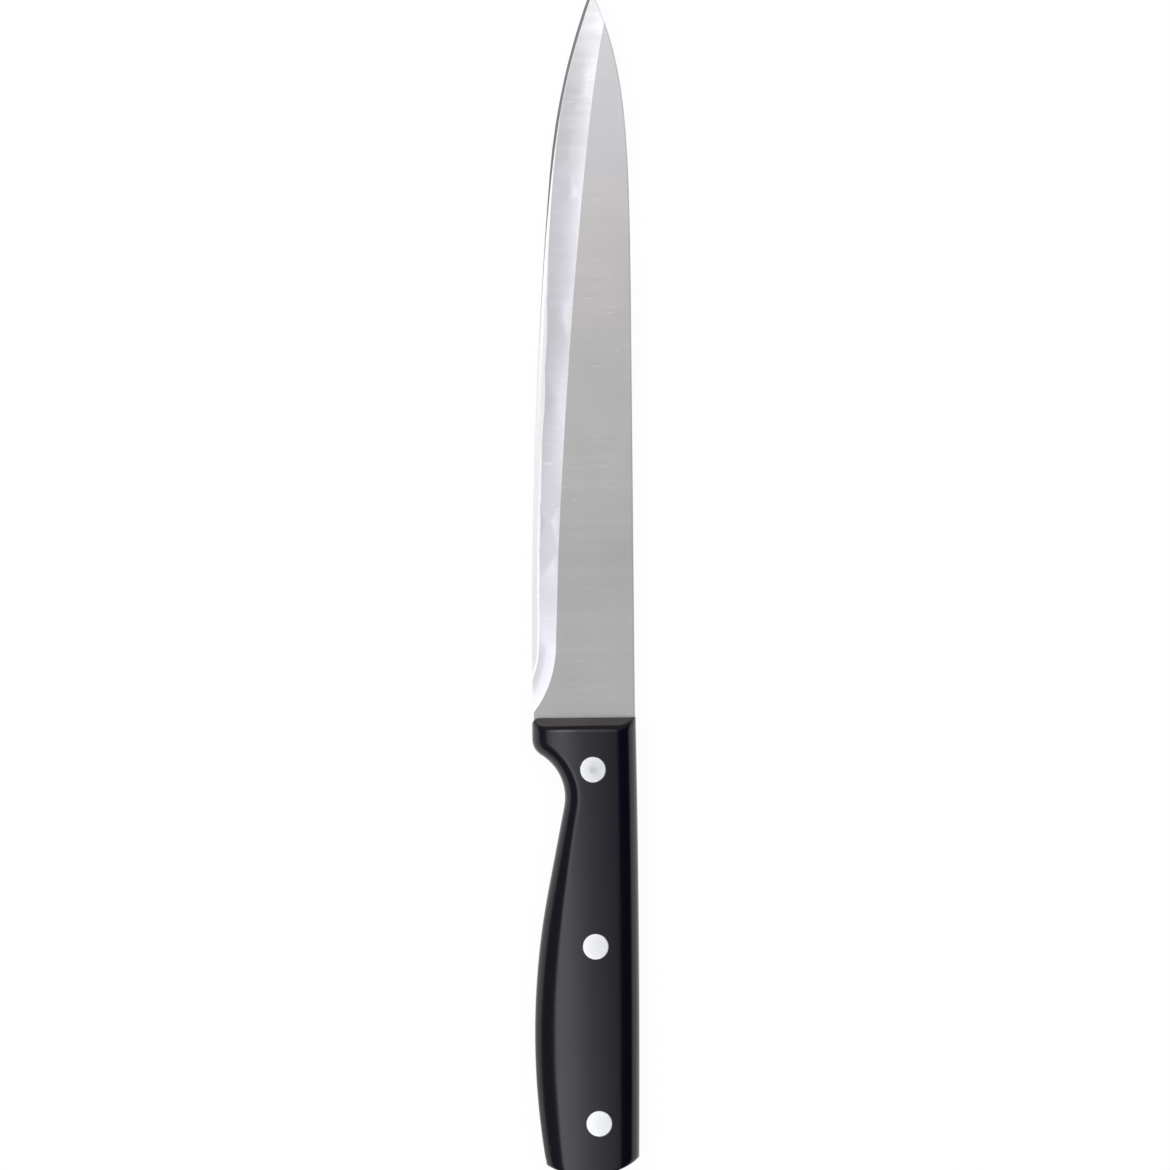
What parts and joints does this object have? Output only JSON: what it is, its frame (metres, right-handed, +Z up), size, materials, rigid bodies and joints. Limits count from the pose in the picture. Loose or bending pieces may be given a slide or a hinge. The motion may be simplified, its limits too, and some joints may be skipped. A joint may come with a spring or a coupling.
{
  "type": "carving knife",
  "caption": "Carving knife: a slender hollow-ground steel blade with a full tang between two contoured black scales held by bright flush rivets.",
  "frame": {"origin": "centre of the overall box, on the flat that the right scale rests on", "axes": "+Y along the knife towards the tip, +X from the cutting edge towards the spine, +Z up out of the blade's left side, with the knife lying flat"},
  "size_m": [0.0288, 0.326, 0.016],
  "materials": {
    "blade_steel": "fine crosswise grind, whetted edge",
    "scale_plastic": "satin moulded",
    "rivet_metal": "ground flush"
  },
  "bodies": {
    "root": {"blade": "blade_steel", "scale_left": "scale_plastic", "scale_right": "scale_plastic", "rivet_front_female": "rivet_metal", "rivet_front_male": "rivet_metal", "rivet_middle_female": "rivet_metal", "rivet_middle_male": "rivet_metal", "rivet_rear_female": "rivet_metal", "rivet_rear_male": "rivet_metal"}
  },
  "joints": []
}
